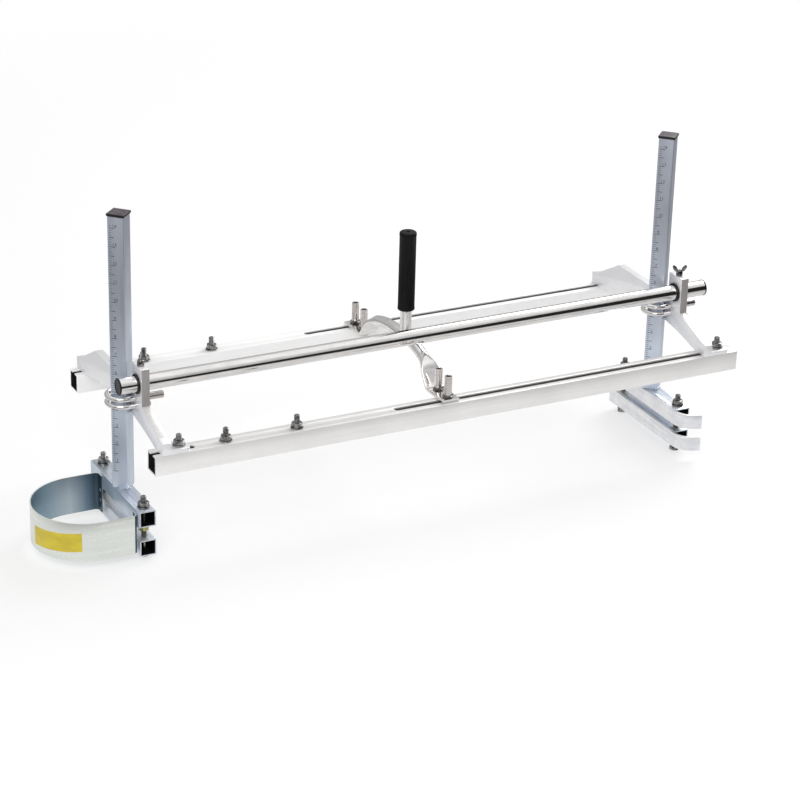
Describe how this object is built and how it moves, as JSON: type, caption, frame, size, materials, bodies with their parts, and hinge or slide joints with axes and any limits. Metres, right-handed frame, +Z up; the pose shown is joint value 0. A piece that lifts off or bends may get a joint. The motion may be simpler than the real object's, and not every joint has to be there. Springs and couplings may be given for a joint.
{
  "type": "chainsaw log cutting frame",
  "caption": "Slotted square rails with end brackets, sliding posts, bar clamps, a nose guard, a cross tube and an upright grip, to guide a saw along a log.",
  "frame": {"origin": "middle of the footprint at floor level, under the clamp bolts' heads", "axes": "+X along the rails towards the end with the skids, +Y from the front rail to the rear rail, +Z up"},
  "size_m": [1.0224, 0.316, 0.4577],
  "materials": {
    "zinc": "zinc plated",
    "alloy": "satin",
    "chrome": "polished",
    "black_plastic": "moulded",
    "black_rubber": "matt"
  },
  "bodies": {
    "frame": {"front_rail": "alloy", "rear_rail": "alloy", "front_rail_bolt_1": "zinc", "front_rail_bolt_2": "zinc", "rear_rail_bolt_1": "zinc", "rear_rail_bolt_2": "zinc", "left_bracket": "alloy", "left_tube_bush": "black_plastic", "left_front_foot_bolt": "zinc", "left_rear_foot_bolt": "zinc", "left_lower_u_bolt": "chrome", "left_lower_front_u_nut": "zinc", "left_lower_rear_u_nut": "zinc", "left_upper_u_bolt": "chrome", "left_upper_front_u_nut": "zinc", "left_upper_rear_u_nut": "zinc"},
    "right_carriage": {"right_bracket": "alloy", "right_tube_bush": "black_plastic", "right_front_foot_bolt": "zinc", "right_rear_foot_bolt": "zinc", "right_lower_u_bolt": "chrome", "right_lower_front_u_nut": "zinc", "right_lower_rear_u_nut": "zinc", "right_upper_u_bolt": "chrome", "right_upper_front_u_nut": "zinc", "right_upper_rear_u_nut": "zinc"},
    "left_post_set": {"left_post": "zinc", "left_post_cap": "black_plastic", "left_upper_clamp_tube": "zinc", "left_front_clamp_bolt": "zinc", "left_rear_clamp_bolt": "zinc", "nose_guard": "zinc", "guard_back_plate": "zinc"},
    "right_post_set": {"right_post": "zinc", "right_post_cap": "black_plastic", "right_upper_clamp_tube": "zinc", "right_front_clamp_bolt": "zinc", "right_rear_clamp_bolt": "zinc", "upper_skid": "zinc"},
    "left_jaw": {"left_lower_clamp_tube": "zinc"},
    "right_jaw": {"right_lower_clamp_tube": "zinc", "lower_skid": "zinc"},
    "handle": {"handle_arch": "chrome", "handle_tube": "chrome", "handle_grip": "black_rubber", "handle_front_slot_sleeve": "zinc", "handle_front_side_sleeve": "zinc", "handle_rear_slot_sleeve": "zinc", "handle_rear_side_sleeve": "zinc"},
    "cross_tube": {"cross_tube": "chrome", "left_tube_plug": "black_plastic", "right_tube_plug": "black_plastic"},
    "left_wing_screw": {"left_wing_screw": "zinc"},
    "right_wing_screw": {"right_wing_screw": "zinc"}
  },
  "joints": [
    {"name": "right_bracket_slide", "type": "slide", "parent": "frame", "child": "right_carriage", "axis": [1, 0, 0], "range_m": [-0.28, 0]},
    {"name": "left_post_slide", "type": "slide", "parent": "frame", "child": "left_post_set", "axis": [0, 0, 1], "range_m": [-0.2, 0.04]},
    {"name": "right_post_slide", "type": "slide", "parent": "right_carriage", "child": "right_post_set", "axis": [0, 0, 1], "range_m": [-0.2, 0.04]},
    {"name": "left_jaw_slide", "type": "slide", "parent": "left_post_set", "child": "left_jaw", "axis": [0, 0, 1], "range_m": [0, 0.009]},
    {"name": "right_jaw_slide", "type": "slide", "parent": "right_post_set", "child": "right_jaw", "axis": [0, 0, 1], "range_m": [-0.0075, 0.005]},
    {"name": "handle_slide", "type": "slide", "parent": "frame", "child": "handle", "axis": [1, 0, 0], "range_m": [-0.05, 0.05]},
    {"name": "cross_tube_slide", "type": "slide", "parent": "frame", "child": "cross_tube", "axis": [1, 0, 0], "range_m": [-0.012, 0.012]},
    {"name": "left_wing_turn", "type": "hinge", "parent": "frame", "child": "left_wing_screw", "pos_m": [-0.36288, -0.0695, 0.2524], "axis": [0, 0, 1], "continuous": true},
    {"name": "right_wing_turn", "type": "hinge", "parent": "right_carriage", "child": "right_wing_screw", "pos_m": [0.46213, -0.0695, 0.2524], "axis": [0, 0, 1], "continuous": true}
  ]
}
